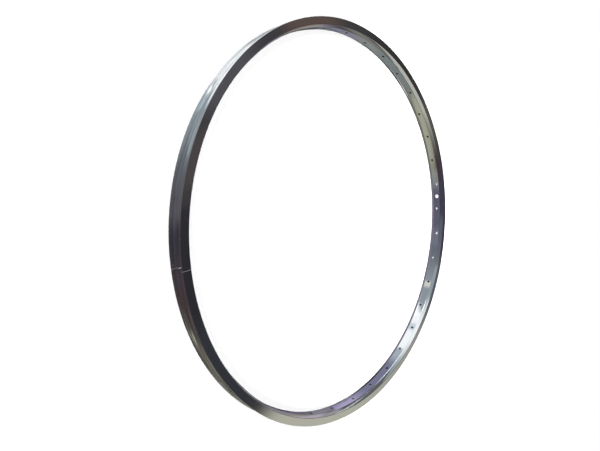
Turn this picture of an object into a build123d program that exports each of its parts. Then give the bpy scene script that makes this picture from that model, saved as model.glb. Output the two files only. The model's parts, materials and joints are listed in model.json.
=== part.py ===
from build123d import *
import os
from math import degrees

# A bicycle rim: one aluminium extrusion rolled into a hoop, butted at a seam and held there by
# an insert in each hollow shoulder. The wheel's axis is Z, the origin is the wheel's centre on
# the rim's middle plane, the valve hole is on +X and the seam is opposite, on -X.
# All sizes are in millimetres, and a section point is (radius, height above the middle plane).

# The hoop
BEAD_SEAT_DIAMETER = 622.0
FLANGE_HEIGHT = 6.0
RIM_WIDTH = 26.0
SECTION_HEIGHT = 14.0
SEAM_GAP = 0.15

# The brake tracks, the shoulders and the spoke bed
TRACK_HEIGHT = 11.4
SPOKE_BED_WIDTH = 14.0
TRACK_WALL = 1.6
SHOULDER_WALL = 1.4
SPOKE_BED_WALL = 1.6

# The tyre channel: hooked flanges, bead ledges and the well between them
HOOK_THICKNESS = 2.5
HOOK_HEIGHT = 2.0
LIP_CHAMFER = 0.5
LEDGE_WIDTH = 3.5
LEDGE_FALL = 0.8
WELL_FLOOR_WIDTH = 9.6
WELL_WALL = 1.3

# The drilling
SPOKE_HOLES = 36
SPOKE_HOLE_DIAMETER = 4.5
SPOKE_STAGGER = 1.0
VALVE_HOLE_DIAMETER = 8.5

# The inserts across the seam
INSERT_LENGTH = 60.0
INSERT_CLEARANCE = 0.03

# Radii and half widths that follow from the sizes above
seat_radius = BEAD_SEAT_DIAMETER / 2
flange_radius = seat_radius + FLANGE_HEIGHT
bed_radius = flange_radius - SECTION_HEIGHT
well_radius = bed_radius + SPOKE_BED_WALL
half_width = RIM_WIDTH / 2

# Corners of the half section above the middle plane, from the spoke bed round to the well
bed_edge = Vector(bed_radius, SPOKE_BED_WIDTH / 2)
shoulder = Vector(flange_radius - TRACK_HEIGHT, half_width)
lip = Vector(flange_radius, half_width)
hook_top = Vector(flange_radius, half_width - HOOK_THICKNESS)
hook_end = Vector(flange_radius - HOOK_HEIGHT, half_width - HOOK_THICKNESS)
hook_root = Vector(hook_end.X - (HOOK_THICKNESS - TRACK_WALL), half_width - TRACK_WALL)
bead_seat = Vector(seat_radius, half_width - TRACK_WALL)
ledge_edge = Vector(seat_radius - LEDGE_FALL, half_width - TRACK_WALL - LEDGE_WIDTH)
well_edge = Vector(well_radius, WELL_FLOOR_WIDTH / 2)


def inset(start, end, wall):
    """The line from start to end, moved to its right, into the section, by the wall's thickness."""
    along = (end - start).normalized()
    return start + Vector(along.Y, -along.X) * wall, along


def crossing(first, second):
    """The point where two lines, each a point and a direction, meet."""
    (p, a), (q, b) = first, second
    gap = q - p
    return p + a * ((gap.X * b.Y - gap.Y * b.X) / (a.X * b.Y - a.Y * b.X))


def chamber(clearance):
    """Corners of the hollow shoulder above the middle plane, drawn in from its walls by a clearance."""
    slope_side = inset(bed_edge, shoulder, SHOULDER_WALL + clearance)
    track_side = inset(shoulder, lip, TRACK_WALL + clearance)
    ledge_side = inset(bead_seat, ledge_edge, WELL_WALL + clearance)
    well_side = inset(ledge_edge, well_edge, WELL_WALL + clearance)
    sides = [slope_side, track_side, ledge_side, well_side]
    return [crossing(sides[i - 1], sides[i]) for i in range(4)]


def below(points):
    """A run of section points mirrored in the middle plane, in the order that carries on from it."""
    return [Vector(point.X, -point.Y) for point in reversed(points)]


def rolled(face, turn, start):
    """A section stood up and carried round the wheel's axis, from a start angle, both in degrees."""
    return Rot(Z=start) * revolve(Plane.XZ.location * face, Axis.Z, turn)


def rim_section():
    """The extruded section: its outline, the lips' edges broken, less the two hollow shoulders."""
    upper = [
        bed_edge,
        shoulder,
        lip,
        hook_top,
        hook_end,
        hook_root,
        bead_seat,
        ledge_edge,
        well_edge,
    ]
    section = make_face(Polyline(*upper, *below(upper), close=True))
    flange_tops = section.vertices().group_by(Axis.X)[-1].sort_by(Axis.Y)
    section = chamfer([flange_tops[0], flange_tops[-1]], LIP_CHAMFER)
    hollow = chamber(0)
    for corners in (hollow, below(hollow)):
        section -= make_face(Polyline(*corners, close=True))
    return section


def hole_drill(diameter):
    """A drill along +X, through the spoke bed into the well."""
    return Pos(X=well_radius) * Cylinder(diameter / 2, SECTION_HEIGHT, rotation=(0, 90, 0))


def rim_hoop():
    """The hoop with its seam, the valve hole and the two staggered rows of spoke holes."""
    gap_angle = degrees(SEAM_GAP / flange_radius)
    hoop = rolled(rim_section(), 360 - gap_angle, gap_angle / 2 - 180)
    pitch = 360 / SPOKE_HOLES
    drills = [hole_drill(VALVE_HOLE_DIAMETER)]
    for k in range(SPOKE_HOLES):
        row = SPOKE_STAGGER if k % 2 == 0 else -SPOKE_STAGGER
        drills.append(Rot(Z=pitch * (k + 0.5)) * Pos(Z=row) * hole_drill(SPOKE_HOLE_DIAMETER))
    return hoop - drills


def joint_inserts():
    """The two inserts, cut to the hollow shoulders and reaching as far on each side of the seam."""
    corners = chamber(INSERT_CLEARANCE)
    turn = degrees(INSERT_LENGTH / seat_radius)
    inserts = []
    for run in (corners, below(corners)):
        inserts.append(rolled(make_face(Polyline(*run, close=True)), turn, 180 - turn / 2))
    return Compound(children=inserts)


os.makedirs("parts", exist_ok=True)
export_step(rim_hoop(), "parts/rim_hoop.step")
export_step(joint_inserts(), "parts/joint_inserts.step")
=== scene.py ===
# A bare bicycle rim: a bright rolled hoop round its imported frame, and the stage that it lies on.

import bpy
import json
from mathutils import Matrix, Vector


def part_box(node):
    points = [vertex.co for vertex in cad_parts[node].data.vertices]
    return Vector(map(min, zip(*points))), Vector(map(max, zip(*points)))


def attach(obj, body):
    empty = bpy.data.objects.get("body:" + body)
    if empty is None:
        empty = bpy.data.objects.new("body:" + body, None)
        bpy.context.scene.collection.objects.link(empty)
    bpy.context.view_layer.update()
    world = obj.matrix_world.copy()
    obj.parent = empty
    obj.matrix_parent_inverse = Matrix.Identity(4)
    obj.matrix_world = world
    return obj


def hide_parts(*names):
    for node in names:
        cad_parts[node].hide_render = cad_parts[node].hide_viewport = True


bl_info = {
    "name": "Bicycle Rim",
    "version": (1, 0, 0),
    "blender": (4, 5, 0),
    "location": "View3D > Sidebar > Rim",
    "description": "Builds a polished aluminium rim round its frame and sets the stage for it",
    "category": "Add Mesh",
}

import json
from math import radians

import bmesh
import bpy
import numpy as np
from bpy.props import FloatProperty, FloatVectorProperty, IntProperty, PointerProperty
from mathutils import Matrix, Vector
from mathutils.geometry import tessellate_polygon

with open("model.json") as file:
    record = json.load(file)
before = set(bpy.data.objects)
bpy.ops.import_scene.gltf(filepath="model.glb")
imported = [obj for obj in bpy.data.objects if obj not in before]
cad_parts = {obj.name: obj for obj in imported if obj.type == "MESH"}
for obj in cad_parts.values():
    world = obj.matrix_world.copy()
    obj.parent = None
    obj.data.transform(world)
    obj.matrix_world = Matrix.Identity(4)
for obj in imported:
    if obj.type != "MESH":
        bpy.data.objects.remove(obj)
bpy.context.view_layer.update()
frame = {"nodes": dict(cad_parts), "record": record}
hoop_low, hoop_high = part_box("rim_hoop")
mounts = {mount["name"]: mount for mount in frame["record"]["mounts"]}
valve = mounts["valve_hole"]
spoke = mounts["spoke_hole_01"]
MM = 0.001

# How finely the hoop is divided
ARC_STEPS = 5
CROWN_STEPS = 8
COLUMNS = 360
CELL_COLUMNS = 4
CELL_ROWS = 12
SAME_TURN = 1e-6
SHARP_EDGE = radians(35.0)

# Rings round a hole, as shares of the way from its edge to its cell's border, and the strips between rings
# that are its wall with the broken edge at either end
RING_SHARES = (0.45, 0.15, 0.0)
WALL_STRIPS = slice(len(RING_SHARES), len(RING_SHARES) + 3)

# Noise in the metal, and how strongly each kind shows
LINE_NOISE = {"scale": 1.0, "detail": 3.0, "roughness": 0.6}
LINE_HAZE = (0.7, 1.3)
LINE_STRENGTH = 0.3
SMUDGE_NOISE = {"scale": 28.0, "detail": 4.0, "roughness": 0.55}
SMUDGE_HAZE = (0.8, 1.2)
SCUFF_NOISE = {"scale": 150.0, "detail": 5.0, "roughness": 0.65}
SCUFF_LEVELS = (0.54, 0.64)

# Finish of the hoop, of its worn and drilled parts, and of the inserts
HOOP_SMUDGE = 0.06
HOOP_LINE_DEPTH = 0.000012
WORN_GLOSS = 0.34
DRILLED_GLOSS = 0.6
INSERT_GLOSS = 0.4
INSERT_SMUDGE = 0.15
INSERT_LINE_DEPTH = 0.00003

# Places of a mix node's sockets for colours
MIX_SHARE = 0
MIX_LOW = 6
MIX_HIGH = 7
MIX_RESULT = 2

# The photo's frame, the floor, the world and the room
PHOTO_WIDTH = 600
PHOTO_HEIGHT = 451
SENSOR_WIDTH = 36.0
NEAR_CLIP = 0.01
FLOOR_RADIUS = 8.0
FLOOR_SIDES = 96
WORLD_LEVEL = 0.03
ROOM_RADIUS = 1.2
ROOM_TURNS = 360
ROOM_RISES = 180
ROOM_GLOW = (0.05, 0.047, 0.05)


# Settings

def length(name, default, description):
    """A length in metres, shown in the scene's own unit."""
    return FloatProperty(
        name=name, description=description, default=default, min=0.0, precision=5, unit="LENGTH"
    )


def angle(name, degrees, description):
    """An angle, given here in degrees."""
    return FloatProperty(
        name=name, description=description, default=radians(degrees), precision=4, subtype="ANGLE"
    )


def colour(name, default, description):
    """A linear colour."""
    return FloatVectorProperty(
        name=name, description=description, default=default, size=3, min=0.0, max=1.0, subtype="COLOR"
    )


class RimSizes(bpy.types.PropertyGroup):
    """Sizes of the rolled section, its rounded edges and its drilling."""

    seat_radius: length("Bead seat radius", 0.311, "From the axis to the ledge under the tyre's bead")
    flange_height: length("Flange height", 0.006, "From the bead seat to the top of the flange")
    width: length("Width", hoop_high.z - hoop_low.z, "Over the two brake tracks")
    height: length("Section height", 0.014, "From the spoke bed to the top of the flange")
    track_height: length("Brake track height", 0.0114, "Flat part of the rim's side")
    bed_width: length("Spoke bed width", 0.014, "Flat part that the spoke holes are drilled in")
    track_wall: length("Brake track wall", 0.0016, "Thickness of the flange under its hook")
    shoulder_wall: length("Shoulder wall", 0.0014, "Thickness of the sloped wall beside the spoke bed")
    bed_wall: length("Spoke bed wall", valve["dims"]["length_mm"] * MM, "Thickness under the well")
    hook_thickness: length("Hook thickness", 0.0025, "Thickness of the flange at its top")
    hook_height: length("Hook height", 0.002, "Straight part of the hook's inner side")
    ledge_width: length("Ledge width", 0.0035, "Bead ledge, from the flange to the well")
    ledge_fall: length("Ledge fall", 0.0008, "How far the bead ledge falls towards the well")
    floor_width: length("Well floor width", 0.0096, "Flat floor of the well")
    well_wall: length("Well wall", 0.0013, "Thickness of the well's side and of the ledge")
    shoulder_crown: length("Shoulder crown", 0.00008, "How far the slope stands out in its middle")
    lip_round: length("Lip rounding", 0.0005, "Radius of the flange's outer edge")
    hook_round: length("Hook rounding", 0.0009, "Radius of the hook's inner edge")
    bed_round: length("Bed rounding", 0.002, "Radius between spoke bed and shoulder")
    shoulder_round: length("Shoulder rounding", 0.0007, "Radius between brake track and shoulder")
    ledge_round: length("Ledge rounding", 0.0010, "Radius at both edges of the bead ledge")
    fine_round: length("Fine rounding", 0.0003, "Radius of the section's other corners")
    hole_edge: length("Hole edge", 0.00015, "Width of the broken edge round each hole")
    seam_gap: length("Seam gap", 0.00015, "Gap between the two ends of the hoop")
    seam_edge: length("Seam edge", 0.00025, "Width and depth of the filed edge on each side of the seam")
    spoke_holes: IntProperty(name="Spoke holes", description="Holes round the hoop", default=36, min=4)
    spoke_radius: length("Spoke hole radius", spoke["dims"]["r_mm"] * MM, "For the nipple's shank")
    spoke_stagger: length("Spoke stagger", spoke["pos_m"][2], "From the middle plane to either row")
    valve_radius: length("Valve hole radius", valve["dims"]["r_mm"] * MM, "For the valve's stem")


class RimFinish(bpy.types.PropertyGroup):
    """Colours and gloss of the metal."""

    metal: colour("Rim metal", (0.92, 0.92, 0.92), "Bright anodised aluminium of the hoop")
    insert: colour("Insert metal", (0.62, 0.62, 0.61), "Plain aluminium of the inserts")
    gloss: FloatProperty(name="Roughness", description="Of the hoop", default=0.05, min=0.0, max=1.0)
    line_width: length("Line width", 0.0006, "Width of the drawn lines that run along the hoop")
    # Painted shade: a near-black colour for the walls and broken edges of the holes, standing in for the
    # shade inside them
    drilled: colour("Drilled metal", (0.035, 0.035, 0.035), "Dull wall of each hole")
    wear_radius: length("Wear radius", 0.317, "Edge of the lips, which is worn most")
    wear_reach: length("Wear reach", 0.0009, "How far the wear reaches from the lips' edge")


class RimStage(bpy.types.PropertyGroup):
    """The camera's place, measured from the rim as it is seen, and the floor's colour."""

    axis_turn: angle("Axis turn", 45.94, "From the line of sight to the rim's axis, to the right")
    axis_lean: angle("Axis lean", -1.75, "The rim's axis above the camera's level")
    valve_turn: angle("Valve turn", 8.87, "The valve hole above the level of the rim's centre")
    distance: length("Distance", 0.7132, "Camera to the rim's centre, along the line of sight")
    centre_right: FloatProperty(name="Right", description="Rim's centre", default=0.0733, unit="LENGTH")
    centre_up: FloatProperty(name="Up", description="Rim's centre", default=-0.0222, unit="LENGTH")
    focal_pixels: FloatProperty(name="Focal length", description="In pixels of the photo", default=432.0)
    middle_x: FloatProperty(name="Middle x", description="Pixel on the line of sight", default=305.0)
    middle_y: FloatProperty(name="Middle y", description="Pixel on the line of sight", default=207.8)
    floor_colour: colour("Floor", (0.98, 0.98, 0.98), "Plain pale floor")


# The section

def right_of(run):
    """Unit vector to the right of a run."""
    return np.array([run[1], -run[0]]) / np.linalg.norm(run)


def rounded(corners, radii, steps):
    """Points of a closed outline with rounded corners, corners by steps.

    At a corner the outline turns by an angle from one run to the next. The arc starts a tangent's length
    before the corner, and after a part of the turn it has gone radius times sine along the first run and
    radius times one minus cosine to the side that it turns to.
    """
    before = corners - np.roll(corners, 1, axis=0)
    before /= np.linalg.norm(before, axis=1, keepdims=True)
    after = np.roll(before, -1, axis=0)
    side = np.stack([-before[:, 1], before[:, 0]], axis=1)
    turn = np.arctan2((side * after).sum(1), (before * after).sum(1))
    start = corners - before * (radii * np.tan(np.abs(turn) / 2))[:, None]
    part = turn[:, None] * np.linspace(0.0, 1.0, steps + 1)
    along = np.sin(np.abs(part))[..., None] * before[:, None]
    across = ((1.0 - np.cos(part)) * np.sign(turn)[:, None])[..., None] * side[:, None]
    return start[:, None] + radii[:, None, None] * (along + across)


def section_corners(sizes):
    """Corners of the section above the middle plane, as radius and height, with their radii."""
    top = sizes.seat_radius + sizes.flange_height
    bed = top - sizes.height
    half = sizes.width / 2
    wall = half - sizes.track_wall
    hook = half - sizes.hook_thickness
    root = top - sizes.hook_height - (sizes.hook_thickness - sizes.track_wall)
    return np.array([
        (bed, sizes.bed_width / 2, sizes.bed_round),
        (top - sizes.track_height, half, sizes.shoulder_round),
        (top, half, sizes.lip_round),
        (top, hook, sizes.hook_round),
        (top - sizes.hook_height, hook, sizes.fine_round),
        (root, wall, sizes.fine_round),
        (sizes.seat_radius, wall, sizes.ledge_round),
        (sizes.seat_radius - sizes.ledge_fall, wall - sizes.ledge_width, sizes.ledge_round),
        (bed + sizes.bed_wall, sizes.floor_width / 2, sizes.fine_round),
    ])


def inset_line(start, end, inset):
    """The line from start to end, moved to its right by an inset: a point on it and its direction."""
    return start + right_of(end - start) * inset, end - start


def crossing(first, second):
    """Where two lines cross, each given by a point and a direction."""
    place, along = first
    other_place, other_along = second
    reach = np.cross(other_place - place, other_along) / np.cross(along, other_along)
    return place + along * reach


def shoulder_hollow(sizes):
    """The four corners of the hollow in the upper shoulder, one wall's thickness inside the outline."""
    bed, shoulder, lip, _, _, _, seat, ledge, floor = section_corners(sizes)[:, :2]
    lines = [
        inset_line(bed, shoulder, sizes.shoulder_wall),
        inset_line(shoulder, lip, sizes.track_wall),
        inset_line(seat, ledge, sizes.well_wall),
        inset_line(ledge, floor, sizes.well_wall),
    ]
    return np.array([crossing(before, line) for before, line in zip(lines[-1:] + lines[:-1], lines)])


def rounded_half(upper, crown):
    """The rounded points of the upper half, with its mirror image there only to close the outline.

    The slope from the spoke bed to the brake track gets points on a crown, a parabola: they stand out from
    its straight run by the crown times four times the share of the way times the rest of the way.
    """
    closed = np.concatenate([upper, upper[::-1] * (1, -1, 1)])
    points = rounded(closed[:, :2], closed[:, 2], ARC_STEPS)[:len(upper)]
    start, end = points[0, -1], points[1, 0]
    way = np.linspace(0.0, 1.0, CROWN_STEPS + 1)[1:-1, None]
    straight = start + (end - start) * way
    slope = straight - right_of(end - start) * crown * 4.0 * way * (1.0 - way)
    return np.concatenate([points[0], slope, points[1:].reshape(-1, 2)])


def section_outline(sizes):
    """The closed outline, and the first index of the rows along the spoke bed and along the well's floor.

    The outline runs up the outside, from the lower edge of the spoke bed round both flanges to the well's
    floor. The flat runs of the bed and of the floor are divided into even rows for the holes.
    """
    arcs_up = rounded_half(section_corners(sizes), sizes.shoulder_crown)
    arcs_down = arcs_up[::-1] * (1, -1)
    floor = np.linspace(arcs_up[-1], arcs_down[0], CELL_ROWS + 1)[1:-1]
    bed = np.linspace(arcs_down[-1], arcs_up[0], CELL_ROWS + 1)[1:-1]
    outline = np.concatenate([arcs_up, floor, arcs_down, bed])
    floor_start = len(arcs_up) - 1
    bed_start = floor_start + CELL_ROWS + len(arcs_down) - 1
    return outline, bed_start, floor_start


def outward(outline):
    """Unit vectors out of a closed outline that runs with its inside on the right."""
    along = np.roll(outline, -1, axis=0) - np.roll(outline, 1, axis=0)
    side = np.stack([-along[:, 1], along[:, 0]], axis=1)
    return side / np.linalg.norm(side, axis=1, keepdims=True)


# The hoop

def around(radius, turn, height):
    """Points at a radius, at a turn about the axis and at a height."""
    return np.stack(np.broadcast_arrays(radius * np.cos(turn), radius * np.sin(turn), height), axis=-1)


def hoop_columns(sizes):
    """The turn and the inset of each column: even steps round the hoop, and a filed edge at both ends."""
    end = np.pi - sizes.seam_gap / 2 / sizes.seat_radius
    edge = end - sizes.seam_edge / sizes.seat_radius
    turn = np.linspace(-np.pi, np.pi, COLUMNS + 1)[1:-1]
    turn = np.concatenate([[-end, -edge], turn, [edge, end]])
    inset = np.zeros(len(turn))
    inset[[0, -1]] = sizes.seam_edge
    return turn, inset


def hole_places(sizes):
    """Turn, height and radius of each hole: the valve hole first, then the two rows of spoke holes."""
    number = np.arange(sizes.spoke_holes)
    turn = (number + 0.5) * 2 * np.pi / sizes.spoke_holes
    turn = (turn + np.pi) % (2 * np.pi) - np.pi
    height = np.where(number % 2 == 0, sizes.spoke_stagger, -sizes.spoke_stagger)
    turn = np.concatenate([[0.0], turn])
    height = np.concatenate([[0.0], height])
    radius = np.concatenate([[sizes.valve_radius], np.full(sizes.spoke_holes, sizes.spoke_radius)])
    return turn, height, radius


def cell_border(cells, first_row, rising, size):
    """Grid numbers round the border of each hole's cell, from its lower left corner, anticlockwise."""
    across = np.arange(CELL_COLUMNS + 1)
    up = np.arange(CELL_ROWS + 1)
    left = np.zeros(CELL_ROWS, int)
    right = np.full(CELL_ROWS, CELL_COLUMNS)
    bottom = np.zeros(CELL_COLUMNS, int)
    top = np.full(CELL_COLUMNS, CELL_ROWS)
    columns = np.concatenate([across[:-1], right, across[:0:-1], left])
    rows = np.concatenate([bottom, up[:-1], top, up[:0:-1]])
    if not rising:
        rows = CELL_ROWS - rows
    return (cells[:, None] + columns) * size + (first_row + rows) % size


def hole_rings(sizes, border_points, places, surface_radius):
    """Rings of points that lead from a cell's border to the broken edge of its hole, on one cylinder.

    On the cylinder unrolled, the points of the hole's edge are spaced evenly round it, from below, and
    each point of a ring lies a share of the way from there to the border's point of the same number.
    """
    turn, height, radius = places
    offset = np.arctan2(border_points[..., 1], border_points[..., 0]) - turn[:, None]
    offset = (offset + np.pi) % (2 * np.pi) - np.pi
    flat = np.stack([offset * surface_radius, border_points[..., 2]], axis=-1)
    count = flat.shape[1]
    way = (np.arange(count) - CELL_COLUMNS / 2) * 2 * np.pi / count - np.pi / 2
    way = np.broadcast_to(way, flat.shape[:2])
    edge_radius = (radius + sizes.hole_edge)[:, None]
    edge = np.stack([edge_radius * np.cos(way), height[:, None] + edge_radius * np.sin(way)], axis=-1)
    share = np.array(RING_SHARES)[None, :, None, None]
    ring = edge[:, None] + (flat - edge)[:, None] * share
    points = around(surface_radius, turn[:, None, None] + ring[..., 0] / surface_radius, ring[..., 1])
    return points, way


def hole_wall(places, way, surface_radius):
    """One ring of the hole's own wall, where it meets its broken edge."""
    turn, height, radius = places
    aside = radius[:, None] * np.cos(way)
    up = height[:, None] + radius[:, None] * np.sin(way)
    return around(surface_radius, turn[:, None] + aside / surface_radius, up)


def hole_chain(sizes, skin, outline, starts, cells):
    """The new points of all holes, and rings of point numbers, holes by rings by points.

    Each hole's rings run from the border of its cell on the spoke bed, over the broken edge, down the wall
    and over the other broken edge, to the border of its cell on the well's floor.
    """
    bed_start, floor_start = starts
    places = hole_places(sizes)
    bed_radius = outline[bed_start, 0]
    floor_radius = outline[floor_start, 0]
    bed_border = cell_border(cells, bed_start, True, len(outline))
    floor_border = cell_border(cells, floor_start, False, len(outline))
    bed_rings, way = hole_rings(sizes, skin[bed_border], places, bed_radius)
    floor_rings, _ = hole_rings(sizes, skin[floor_border], places, floor_radius)
    walls = [
        hole_wall(places, way, bed_radius + sizes.hole_edge),
        hole_wall(places, way, floor_radius - sizes.hole_edge),
    ]
    rings = np.concatenate([bed_rings, np.stack(walls, axis=1), floor_rings[:, ::-1]], axis=1)
    numbers = len(skin) + np.arange(rings[..., 0].size).reshape(rings.shape[:3])
    chain = np.concatenate([bed_border[:, None], numbers, floor_border[:, None]], axis=1)
    return rings.reshape(-1, 3), chain


def strip_faces(rings):
    """Quads between neighbouring closed rings, from point numbers, holes by rings by points."""
    inner, outer = rings[:, :-1], rings[:, 1:]
    quads = np.stack([inner, outer, np.roll(outer, -1, axis=2), np.roll(inner, -1, axis=2)], axis=-1)
    return quads.reshape(-1, 4)


def wall_marks(rings):
    """A 1 for each strip face of a hole's wall or broken edge, and a 0 for each other strip face."""
    marks = np.zeros((len(rings), rings.shape[1] - 1, rings.shape[2]))
    marks[:, WALL_STRIPS] = 1.0
    return marks.ravel()


def grid_faces(columns, size, start):
    """Quads of a tube of points, columns by size, closed across and open at both ends."""
    column, row = np.meshgrid(np.arange(columns - 1), np.arange(size), indexing="ij")
    here = column * size + row
    after = column * size + (row + 1) % size
    return start + np.stack([here, here + size, after + size, after], axis=-1)


def skin_faces(columns, size, starts, cells):
    """Quads of the hoop's skin, without the cells on the spoke bed and the well's floor that holes take."""
    quads = grid_faces(columns, size, 0)
    keep = np.ones(quads.shape[:2], bool)
    cell = (cells[:, None] + np.arange(CELL_COLUMNS))[..., None]
    for start in starts:
        keep[cell, (start + np.arange(CELL_ROWS)) % size] = False
    return quads[keep]


def end_faces(outlines, starts, columns):
    """Triangles of both ends at the seam, between the section's outline and those of its hollows."""
    loops = [start + np.arange(len(outline)) for outline, start in zip(outlines, starts)]
    near = np.concatenate(loops)
    far = np.concatenate([loop + (columns - 1) * len(loop) for loop in loops])
    polygons = [[Vector((*point, 0.0)) for point in outline] for outline in outlines]
    triangles = np.array(tessellate_polygon(polygons))
    return [near[triangles], far[triangles]]


def hoop_mesh(sizes):
    """Points, faces and marks of the hole faces of the hoop, which get a dull finish and painted shade.

    The outline is carried round the axis, drilled, given its two hollows and closed at the seam. A face of
    a hole's wall or broken edge is marked with a 1, and each other face with a 0.
    """
    outline, *starts = section_outline(sizes)
    turn, inset = hoop_columns(sizes)
    columns = len(turn)
    ring = outline[None] - outward(outline)[None] * inset[:, None, None]
    skin = around(ring[..., 0], turn[:, None], ring[..., 1]).reshape(-1, 3)
    hole_turn = hole_places(sizes)[0]
    cells = np.searchsorted(turn, hole_turn - SAME_TURN) - CELL_COLUMNS // 2
    hole_points, chain = hole_chain(sizes, skin, outline, starts, cells)
    points = [skin, hole_points]
    faces = [skin_faces(columns, len(outline), starts, cells), strip_faces(chain)]
    drilled_from = len(faces[0])

    # The hollows in the two shoulders
    hollow = shoulder_hollow(sizes)
    hollows = [hollow, hollow[::-1] * (1, -1)]
    loop_starts = [0]
    for corners in hollows:
        start = sum(len(block) for block in points)
        points.append(around(corners[:, 0], turn[:, None], corners[:, 1]).reshape(-1, 3))
        faces.append(grid_faces(columns, len(corners), start).reshape(-1, 4)[:, ::-1])
        loop_starts.append(start)

    faces += end_faces([ring[0], *hollows], loop_starts, columns)
    # Mark of the hole faces, which the material makes dull and darkens with painted shade
    drilled = np.zeros(sum(len(block) for block in faces))
    drilled[drilled_from:drilled_from + len(faces[1])] = wall_marks(chain)
    return np.concatenate(points), [face for block in faces for face in block.tolist()], drilled


def mesh_object(name, points, faces):
    """A new smooth object at the origin from points and faces, with faces that point outwards."""
    mesh = bpy.data.meshes.new(name)
    mesh.from_pydata(points.tolist(), [], faces)
    work = bmesh.new()
    work.from_mesh(mesh)
    bmesh.ops.recalc_face_normals(work, faces=work.faces[:])
    work.to_mesh(mesh)
    work.free()
    mesh.shade_smooth()
    mesh.set_sharp_from_angle(angle=SHARP_EDGE)
    thing = bpy.data.objects.new(name, mesh)
    bpy.context.scene.collection.objects.link(thing)
    return thing


# Finishes

def new_tree(owner):
    """The emptied node tree of a material or of a world, and its output node."""
    owner.use_nodes = True
    tree = owner.node_tree
    tree.nodes.clear()
    is_world = isinstance(owner, bpy.types.World)
    kind = "ShaderNodeOutputWorld" if is_world else "ShaderNodeOutputMaterial"
    return tree, tree.nodes.new(kind)


def fill(tree, socket, value):
    """Links another node's output to a socket, or sets the socket to a plain value."""
    if isinstance(value, bpy.types.NodeSocket):
        tree.links.new(value, socket)
    else:
        socket.default_value = value


def put(tree, kind, operation=None, **sockets):
    """Adds a node and fills its sockets.

    A socket goes by its name in small letters, or by its place, as in_0. Its value is a number, a colour or
    another node's output.
    """
    made = tree.nodes.new("ShaderNode" + kind)
    if operation:
        made.operation = operation
    for name, value in sockets.items():
        if name.startswith("in_"):
            place = int(name.removeprefix("in_"))
        else:
            place = name.replace("_", " ").title()
        fill(tree, made.inputs[place], value)
    return made


def between(tree, share, low, high, start=0.0, end=1.0):
    """A value that goes from low to high as a share goes from its start to its end."""
    made = put(tree, "MapRange", value=share, from_min=start, from_max=end, to_min=low, to_max=high)
    return made.outputs[0]


def opaque(tint):
    """A colour with its alpha."""
    return (*tint, 1.0)


def blend_colours(tree, share, low, high):
    """A colour that goes from low to high as a share goes from 0 to 1."""
    blend = put(tree, "Mix")
    blend.data_type = "RGBA"
    for place, value in ((MIX_SHARE, share), (MIX_LOW, low), (MIX_HIGH, high)):
        fill(tree, blend.inputs[place], value)
    return blend.outputs[MIX_RESULT]


def new_group(name, inputs, output):
    """A new node group that takes and gives plain numbers: its tree, its input node and its output node."""
    tree = bpy.data.node_groups.new(name, "ShaderNodeTree")
    for socket in inputs:
        tree.interface.new_socket(socket, in_out="INPUT", socket_type="NodeSocketFloat")
    tree.interface.new_socket(output, in_out="OUTPUT", socket_type="NodeSocketFloat")
    return tree, tree.nodes.new("NodeGroupInput"), tree.nodes.new("NodeGroupOutput")


def group_output(tree, group, *values):
    """The output of a node group in a material, with the group's inputs set to values."""
    made = tree.nodes.new("ShaderNodeGroup")
    made.node_tree = group
    for socket, value in zip(made.inputs, values):
        socket.default_value = value
    return made.outputs[0]


def drawn_lines():
    """Node group: fine lines along the hoop, as extruding and polishing leave them.

    Noise is read at the distance from the axis, the height and a small part of the turn, so it hardly
    changes round the hoop and changes quickly across the section.
    """
    name = "drawn_lines"
    if name in bpy.data.node_groups:
        return bpy.data.node_groups[name]
    tree, inside, outside = new_group(name, ["Line Width"], "Lines")
    place = put(tree, "SeparateXYZ", in_0=put(tree, "TexCoord").outputs["Object"])
    x, y, z = place.outputs
    flat = put(tree, "CombineXYZ", in_0=x, in_1=y)
    radius = put(tree, "VectorMath", "LENGTH", in_0=flat.outputs[0]).outputs["Value"]
    turn = put(tree, "Math", "ARCTAN2", in_0=y, in_1=x).outputs[0]
    across = put(tree, "Math", "DIVIDE", in_0=radius, in_1=inside.outputs[0]).outputs[0]
    up = put(tree, "Math", "DIVIDE", in_0=z, in_1=inside.outputs[0]).outputs[0]
    grain = put(tree, "CombineXYZ", in_0=across, in_1=up, in_2=turn)
    noise = put(tree, "TexNoise", in_0=grain.outputs[0], **LINE_NOISE)
    tree.links.new(noise.outputs[0], outside.inputs[0])
    return tree


def lip_wear():
    """Node group: scuffs along the lips' edges, where tyre levers and the ground rub them.

    Patches of noise count fully at the edge's radius and fade to nothing one reach inside it.
    """
    name = "lip_wear"
    if name in bpy.data.node_groups:
        return bpy.data.node_groups[name]
    tree, inside, outside = new_group(name, ["Edge Radius", "Reach"], "Wear")
    edge, reach = inside.outputs[:2]
    place = put(tree, "TexCoord").outputs["Object"]
    flat = put(tree, "VectorMath", "MULTIPLY", in_0=place, in_1=(1.0, 1.0, 0.0)).outputs[0]
    radius = put(tree, "VectorMath", "LENGTH", in_0=flat).outputs["Value"]
    gap = put(tree, "Math", "SUBTRACT", in_0=edge, in_1=radius).outputs[0]
    near = between(tree, put(tree, "Math", "DIVIDE", in_0=gap, in_1=reach).outputs[0], 1.0, 0.0)
    noise = put(tree, "TexNoise", in_0=place, **SCUFF_NOISE).outputs[0]
    patches = between(tree, noise, 0.0, 1.0, *SCUFF_LEVELS)
    wear = put(tree, "Math", "MULTIPLY", in_0=near, in_1=patches)
    tree.links.new(wear.outputs[0], outside.inputs[0])
    return tree


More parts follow.
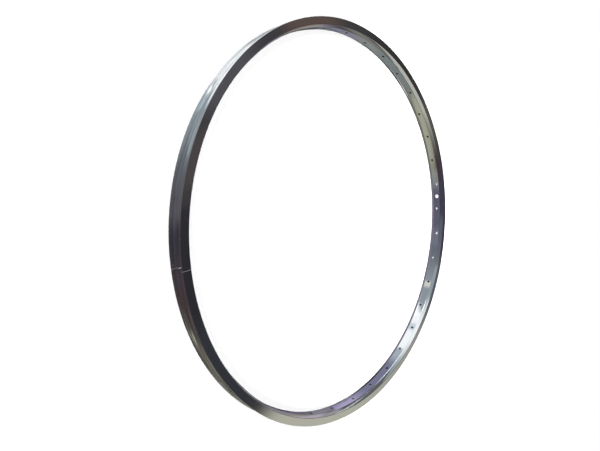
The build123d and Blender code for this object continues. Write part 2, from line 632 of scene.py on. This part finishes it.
def metal_material(name, finish, tint, gloss, smudge, line_depth):
    """Metal with drawn lines, faint smudges where it has been handled, worn lips, and dull holes whose
    walls are darkened with painted shade.
    """
    material = bpy.data.materials.new(name)
    tree, output = new_tree(material)
    shader = put(tree, "BsdfPrincipled", metallic=1.0)
    lines = group_output(tree, drawn_lines(), finish.line_width)
    wear = group_output(tree, lip_wear(), finish.wear_radius, finish.wear_reach)
    # The hole faces' mark: it dulls them and blends their colour to the painted shade of the holes
    drilled = put(tree, "Attribute")
    drilled.attribute_name = "drilled"
    hole = drilled.outputs["Fac"]
    place = put(tree, "TexCoord").outputs["Object"]
    clouds = put(tree, "TexNoise", in_0=place, **SMUDGE_NOISE).outputs[0]
    smudged = [part * (1.0 - smudge) for part in tint]
    shade = blend_colours(tree, clouds, opaque(smudged), opaque(tint))
    # Painted shade on the walls and broken edges of the holes
    shade = blend_colours(tree, hole, shade, opaque(finish.drilled))
    tree.links.new(shade, shader.inputs["Base Color"])
    haze = between(tree, clouds, gloss * SMUDGE_HAZE[0], gloss * SMUDGE_HAZE[1])
    rough = put(tree, "Math", "MULTIPLY", in_0=haze, in_1=between(tree, lines, *LINE_HAZE)).outputs[0]
    rough = between(tree, wear, rough, WORN_GLOSS)
    rough = between(tree, hole, rough, DRILLED_GLOSS)
    tree.links.new(rough, shader.inputs["Roughness"])
    bump = put(tree, "Bump", strength=LINE_STRENGTH, distance=line_depth, height=lines)
    tree.links.new(bump.outputs[0], shader.inputs["Normal"])
    tree.links.new(shader.outputs[0], output.inputs[0])
    return material


# The stage

# A key lamp from the camera's side, a fill lamp over the middle of the hoop, and a back lamp behind the
# valve hole: kind, place, aim, strength and softness
LAMPS = {
    "key_lamp": ("SUN", (-5.2, 1.2, 5.4), (0.0, 0.0, 0.0), 4.4, {"angle": radians(4.0)}),
    "fill_lamp": ("POINT", (0.0, 0.0, 0.45), (0.0, 0.0, 0.0), 13.5, {"shadow_soft_size": 0.05}),
    "back_lamp": ("SPOT", (0.527, -0.092, 0.2), (0.318, -0.055, -0.013), 5.0,
                  {"spot_size": radians(39.0), "spot_blend": 0.2, "shadow_soft_size": 0.02}),
}


def background_rays(tree):
    """1 for a ray that the background shows to: from the camera, from a reflection or through glass."""
    rays = put(tree, "LightPath").outputs
    seen = put(tree, "Math", "MAXIMUM", in_0=rays["Is Camera Ray"], in_1=rays["Is Glossy Ray"]).outputs[0]
    return put(tree, "Math", "MAXIMUM", in_0=seen, in_1=rays["Is Transmission Ray"]).outputs[0]


def floor_material(tint):
    """A plain pale matt floor."""
    material = bpy.data.materials.new("pale_floor")
    tree, output = new_tree(material)
    matt = put(tree, "BsdfDiffuse", color=opaque(tint))
    tree.links.new(matt.outputs[0], output.inputs[0])
    return material


def white_world(plain):
    """A world that is white as a background and lights the object at a plain level."""
    world = bpy.data.worlds.new("white_world")
    bpy.context.scene.world = world
    tree, output = new_tree(world)
    strength = between(tree, background_rays(tree), plain, 1.0)
    sky = put(tree, "Background", color=(1.0, 1.0, 1.0, 1.0), strength=strength)
    tree.links.new(sky.outputs[0], output.inputs[0])


def camera_matrix(stage):
    """The camera's place in the rim's frame.

    In the camera's axes, right, up and towards the viewer, the rim's axis is turned to the right and
    leans, and the valve hole is turned about it. The camera's own matrix undoes that view.
    """
    axis = Vector((
        np.sin(stage.axis_turn) * np.cos(stage.axis_lean),
        np.sin(stage.axis_lean),
        np.cos(stage.axis_turn) * np.cos(stage.axis_lean),
    ))
    level = Vector((0.0, 1.0, 0.0)).cross(axis).normalized()
    rising = axis.cross(level)
    to_valve = level * np.cos(stage.valve_turn) + rising * np.sin(stage.valve_turn)
    view = Matrix((to_valve, axis.cross(to_valve), axis)).transposed().to_4x4()
    view.translation = (stage.centre_right, stage.centre_up, -stage.distance)
    return view.inverted()


def add_camera(stage):
    """The camera, with the photo's focal length and the shift that its framing needs."""
    data = bpy.data.cameras.new("photo_camera")
    data.sensor_width = SENSOR_WIDTH
    data.lens = SENSOR_WIDTH * stage.focal_pixels / PHOTO_WIDTH
    data.shift_x = (PHOTO_WIDTH / 2 - stage.middle_x) / PHOTO_WIDTH
    data.shift_y = (stage.middle_y - PHOTO_HEIGHT / 2) / PHOTO_WIDTH
    data.clip_start = NEAR_CLIP
    camera = bpy.data.objects.new("photo_camera", data)
    camera.matrix_world = camera_matrix(stage)
    bpy.context.scene.collection.objects.link(camera)
    bpy.context.scene.camera = camera


def add_lamp(name, kind, place, aim, strength, settings):
    """A lamp that shines from a place at an aim, and that doesn't show in the metal."""
    data = bpy.data.lights.new(name, kind)
    data.energy = strength
    for key, value in settings.items():
        setattr(data, key, value)
    lamp = bpy.data.objects.new(name, data)
    lamp.location = place
    lamp.rotation_euler = (Vector(aim) - lamp.location).to_track_quat("-Z", "Y").to_euler()
    lamp.visible_glossy = False
    bpy.context.scene.collection.objects.link(lamp)


def add_floor(stage):
    """A wide round floor under the rim: points at one radius round the axis."""
    turn = np.linspace(0.0, 2 * np.pi, FLOOR_SIDES, endpoint=False)
    edge = around(FLOOR_RADIUS, turn, hoop_low.z)
    floor = mesh_object("floor", edge, [list(range(FLOOR_SIDES))])
    floor.data.materials.append(floor_material(stage.floor_colour))
    floor.visible_glossy = False


# Soft cards on the walls of the room that the metal reflects, each laid over the ones before it: its turn
# about the axis and its rise from the rim's middle plane, half its width and height, how far it fades
# beyond them, all in degrees, and its colour
CARDS = {
    "ground": (0, -80, 180, 22, 1, 7, (0.21, 0.188, 0.25)),
    "ground_warm": (-60, -68, 30, 10, 20, 8, (0.17, 0.17, 0.15)),
    "brown": (-158, 5, 12, 45, 20, 10, (0.06, 0.043, 0.045)),
    "dark_left": (-178, 10, 5, 46, 8, 10, (0.041, 0.038, 0.045)),
    "grey_left": (163, 5, 4, 50, 12, 12, (0.105, 0.1, 0.107)),
    "dusk_low": (174, -33.8, 18, 1.8, 24, 2.5, (0.112, 0.115, 0.165)),
    "dusk_pale": (160, -33.8, 3, 1.8, 7, 2.5, (0.165, 0.178, 0.23)),
    "grey_bed": (-156, -34, 3, 1.6, 8, 2, (0.22, 0.24, 0.245)),
    "dusk_high": (162, 26, 6, 8, 16, 6, (0.115, 0.117, 0.16)),
    "cool_right": (114, 0, 8, 60, 42, 20, (0.28, 0.325, 0.365)),
    "cool_high": (130, 34, 6, 14, 6, 6, (0.31, 0.36, 0.385)),
    "dim_gap": (143, -1.5, 13, 2.5, 6, 2.5, (0.15, 0.165, 0.178)),
    "cool_wall": (112, -38.4, 4, 1.4, 6, 1, (0.52, 0.64, 0.72)),
    "cool_left": (70, 0, 5, 60, 24, 20, (0.4, 0.46, 0.53)),
    "umber_high": (-135, 38, 4, 6, 8, 8, (0.1, 0.085, 0.087)),
    "navy": (-171, 26.5, 7, 5, 9, 4, (0.06, 0.056, 0.092)),
    "khaki_corner": (-44, 23, 4, 6, 16, 8, (0.34, 0.345, 0.31)),
    "khaki_left": (-92, 18, 8, 8, 46, 8, (0.46, 0.46, 0.4)),
    "khaki_wall": (-78, 20, 22, 18, 14, 5, (0.46, 0.46, 0.385)),
    "khaki_low": (-82, 8, 22, 5, 14, 8, (0.48, 0.485, 0.445)),
    "khaki_shade": (-48, -6, 8, 4, 20, 9, (0.2, 0.2, 0.18)),
    "khaki_dim": (-116, -28, 14, 5, 12, 4, (0.165, 0.155, 0.12)),
    "haze": (36, 1, 18, 8, 16, 8, (0.115, 0.12, 0.14)),
    "khaki_strip": (-116, -34.4, 22, 1, 25, 0.5, (0.395, 0.4, 0.31)),
    "umber": (-137, -38.7, 6, 1.9, 9, 0.9, (0.105, 0.092, 0.088)),
    "slate_strip": (-52, -36, 24, 2, 20, 2.5, (0.2, 0.225, 0.225)),
    "mauve": (-4, -15, 9, 8, 18, 5, (0.22, 0.195, 0.24)),
    "mauve_bright": (-3, -13, 6, 5, 9, 5, (0.45, 0.4, 0.48)),
    "pearl": (13.5, -8.5, 2.5, 3, 5, 3, (0.32, 0.32, 0.33)),
    "warm_low": (-6, -24.5, 6, 3, 7, 6, (0.29, 0.272, 0.235)),
    "low_mid": (4, -33, 8, 2, 8, 3, (0.16, 0.165, 0.17)),
    "mauve_low": (-20, -28, 3, 3, 6, 4, (0.26, 0.23, 0.29)),
    "low_grey": (4, -43, 9, 4, 7, 1.5, (0.15, 0.168, 0.19)),
    "slate_end": (-28, -37.2, 10, 0.8, 8, 0.5, (0.262, 0.282, 0.262)),
    "low_bed": (-34, -39.4, 12, 1.2, 5, 0.35, (0.145, 0.135, 0.195)),
    "low_bed_end": (-14, -38.2, 6, 0.9, 5, 0.6, (0.235, 0.228, 0.28)),
    "low_dusk": (38, -35.5, 14, 2.5, 12, 3, (0.19, 0.195, 0.3)),
    "lilac": (8, -36.8, 4, 0.95, 16, 0.3, (0.42, 0.38, 0.59)),
    "lilac_left": (1, -36.9, 4, 0.95, 4, 0.3, (0.44, 0.4, 0.62)),
    "low_white": (-50, -50, 14, 6, 10, 2, (1, 1, 1)),
    "black_top": (-45, 62, 30, 8, 10, 12, (0.027, 0.026, 0.032)),
    "slate_top": (-66, 52, 6, 5, 6, 6, (0.034, 0.037, 0.046)),
    "corner_light": (-44, 47, 4, 2.5, 5, 4, (1.8, 1.85, 1.95)),
    "warm_top": (16, 69, 9, 3, 10, 8, (0.072, 0.063, 0.066)),
    "grey_top": (40, 56, 3, 4, 12, 6, (0.086, 0.085, 0.098)),
    "dark_right": (24, 26, 4, 3, 5, 4, (0.036, 0.035, 0.034)),
    "rust": (39, 37.5, 3, 2.5, 5, 4, (0.108, 0.078, 0.07)),
    "slate": (-24, 20, 3, 4, 5, 8, (0.11, 0.115, 0.14)),
    "plum": (-8, 20, 7, 3, 6, 8, (0.056, 0.049, 0.082)),
    "grey_spot": (10, 22, 1, 2, 6, 6, (0.1, 0.095, 0.085)),
    "crease": (61.5, -13, 6, 8, 13, 5, (2.5, 2.65, 2.7)),
    "pale_panel": (93, 9.5, 17, 35.5, 8, 4, (0.95, 1.01, 1.05)),
    "cool_step": (102.2, -34.2, 0.8, 0.9, 2, 0.8, (0.6, 0.66, 0.7)),
    "pale_panel_low": (87.5, -37, 13, 6, 2.5, 4, (0.6, 0.68, 0.75)),
    "pale_panel_lip": (92, -50, 15, 6, 10, 4, (0.92, 0.97, 1)),
    "white_left": (80, -12, 4, 16, 5, 5, (1.15, 1.15, 1.15)),
    "white_right": (100, -12, 7, 16, 6, 5, (1.2, 1.2, 1.2)),
    "white_left_low": (78.5, -37, 6, 6, 4, 4, (1, 1.04, 1.07)),
    "white_right_low": (97, -37, 3, 6, 3, 4, (1, 1.04, 1.07)),
    "wall_white": (103.5, -37, 3, 1.8, 4, 0.7, (1.6, 1.72, 1.76)),
    "slope_cool": (92, 17.5, 36, 6, 8, 4, (0.31, 0.37, 0.4)),
    "slope_white": (91.5, 17.5, 4, 6, 26, 4, (0.97, 1.02, 1.05)),
    "white_spot": (124, -34, 1.3, 1.5, 2.2, 2, (0.7, 0.7, 0.66)),
    "seam_spark": (111, 10.5, 2.5, 2.5, 3, 3, (2.6, 2.4, 2.4)),
}


def room_colours(points):
    """The room's colour at each point.

    A card covers a point fully inside its half width and height. Beyond them its cover falls to nothing,
    as a smooth step of the distance, counted in fades.
    """
    turn = np.degrees(np.arctan2(points[:, 1], points[:, 0]))
    rise = np.degrees(np.arcsin(points[:, 2] / ROOM_RADIUS))
    colours = np.tile(ROOM_GLOW, (len(points), 1))
    for card_turn, card_rise, wide, high, side_fade, end_fade, tint in CARDS.values():
        aside = np.abs((turn - card_turn + 180) % 360 - 180)
        beyond = np.maximum(aside - wide, 0) / side_fade
        above = np.maximum(np.abs(rise - card_rise) - high, 0) / end_fade
        away = np.minimum(np.hypot(beyond, above), 1.0)
        cover = 1.0 - away ** 2 * (3.0 - 2.0 * away)
        colours += (np.array(tint) - colours) * cover[:, None]
    return colours


def room_material():
    """The room's walls, as they show in the metal."""
    material = bpy.data.materials.new("room_walls")
    tree, output = new_tree(material)
    glow = put(tree, "VertexColor")
    glow.layer_name = "glow"
    light = put(tree, "Emission", color=glow.outputs["Color"], strength=1.0)
    tree.links.new(light.outputs[0], output.inputs[0])
    return material


def add_room():
    """A round room that only reflections show: points at each rise and turn on a sphere."""
    turn = np.linspace(0.0, 2 * np.pi, ROOM_TURNS, endpoint=False)
    rise = np.linspace(-np.pi / 2, np.pi / 2, ROOM_RISES + 1)[1:-1, None]
    points = around(np.cos(rise), turn, np.sin(rise)).reshape(-1, 3) * ROOM_RADIUS
    faces = grid_faces(len(rise), ROOM_TURNS, 0).reshape(-1, 4).tolist()
    faces += [list(range(ROOM_TURNS)), list(range(len(points) - ROOM_TURNS, len(points)))]
    room = mesh_object("room", points, faces)
    glow = room.data.color_attributes.new("glow", "FLOAT_COLOR", "POINT")
    glow.data.foreach_set("color", np.column_stack([room_colours(points), np.ones(len(points))]).ravel())
    room.data.materials.append(room_material())
    for ray in ("camera", "diffuse", "transmission", "shadow", "volume_scatter"):
        setattr(room, "visible_" + ray, False)


# The add-on

class RIM_OT_hoop(bpy.types.Operator):
    """Build the rolled hoop with its holes and its seam"""

    bl_idname = "rim.hoop"
    bl_label = "Hoop"

    def execute(self, context):
        finish = context.scene.rim_finish
        points, faces, drilled = hoop_mesh(context.scene.rim_sizes)
        hoop = mesh_object("polished_hoop", points, faces)
        # The mark of the hole faces, which the material makes dull and darkens with painted shade
        hoop.data.attributes.new("drilled", "FLOAT", "FACE").data.foreach_set("value", drilled)
        hoop.modifiers.new("flat_faces", "WEIGHTED_NORMAL").keep_sharp = True
        hoop.data.materials.append(metal_material(
            "bright_aluminium", finish, finish.metal, finish.gloss, HOOP_SMUDGE, HOOP_LINE_DEPTH
        ))
        hoop.visible_diffuse = False
        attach(hoop, "root")
        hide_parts("rim_hoop")
        return {"FINISHED"}


class RIM_OT_inserts(bpy.types.Operator):
    """Give the inserts at the seam their plain metal"""

    bl_idname = "rim.inserts"
    bl_label = "Inserts"

    def execute(self, context):
        finish = context.scene.rim_finish
        inserts = frame["nodes"]["joint_inserts"]
        inserts.data.materials.clear()
        inserts.data.materials.append(metal_material(
            "mill_aluminium", finish, finish.insert, INSERT_GLOSS, INSERT_SMUDGE, INSERT_LINE_DEPTH
        ))
        return {"FINISHED"}


class RIM_OT_stage(bpy.types.Operator):
    """Set the floor, the room, the lamps and the camera"""

    bl_idname = "rim.stage"
    bl_label = "Stage"

    def execute(self, context):
        stage = context.scene.rim_stage
        context.scene.view_settings.view_transform = "Standard"
        white_world(WORLD_LEVEL)
        add_floor(stage)
        add_room()
        for name, lamp in LAMPS.items():
            add_lamp(name, *lamp)
        add_camera(stage)
        return {"FINISHED"}


class RIM_PT_panel(bpy.types.Panel):
    """The rim's pieces, sizes, finish and stage"""

    bl_idname = "RIM_PT_panel"
    bl_label = "Bicycle rim"
    bl_space_type = "VIEW_3D"
    bl_region_type = "UI"
    bl_category = "Rim"

    def draw(self, context):
        layout = self.layout
        for operator in OPERATORS:
            layout.operator(operator.bl_idname)
        for group in GROUPS:
            box = layout.box()
            settings = getattr(context.scene, group)
            for name in settings.bl_rna.properties.keys():
                if name not in ("rna_type", "name"):
                    box.prop(settings, name)


GROUPS = {"rim_sizes": RimSizes, "rim_finish": RimFinish, "rim_stage": RimStage}
OPERATORS = (RIM_OT_hoop, RIM_OT_inserts, RIM_OT_stage)


def register():
    """Adds the settings to the scene, and the operators and the panel to Blender."""
    for group, settings in GROUPS.items():
        bpy.utils.register_class(settings)
        setattr(bpy.types.Scene, group, PointerProperty(type=settings))
    for kind in (*OPERATORS, RIM_PT_panel):
        bpy.utils.register_class(kind)


def unregister():
    """Takes away what register adds."""
    for kind in (RIM_PT_panel, *reversed(OPERATORS)):
        bpy.utils.unregister_class(kind)
    for group, settings in GROUPS.items():
        delattr(bpy.types.Scene, group)
        bpy.utils.unregister_class(settings)


def main():
    """Builds the rim and its stage."""
    register()
    bpy.ops.rim.hoop()
    bpy.ops.rim.inserts()
    bpy.ops.rim.stage()


if __name__ == "__main__":
    main()
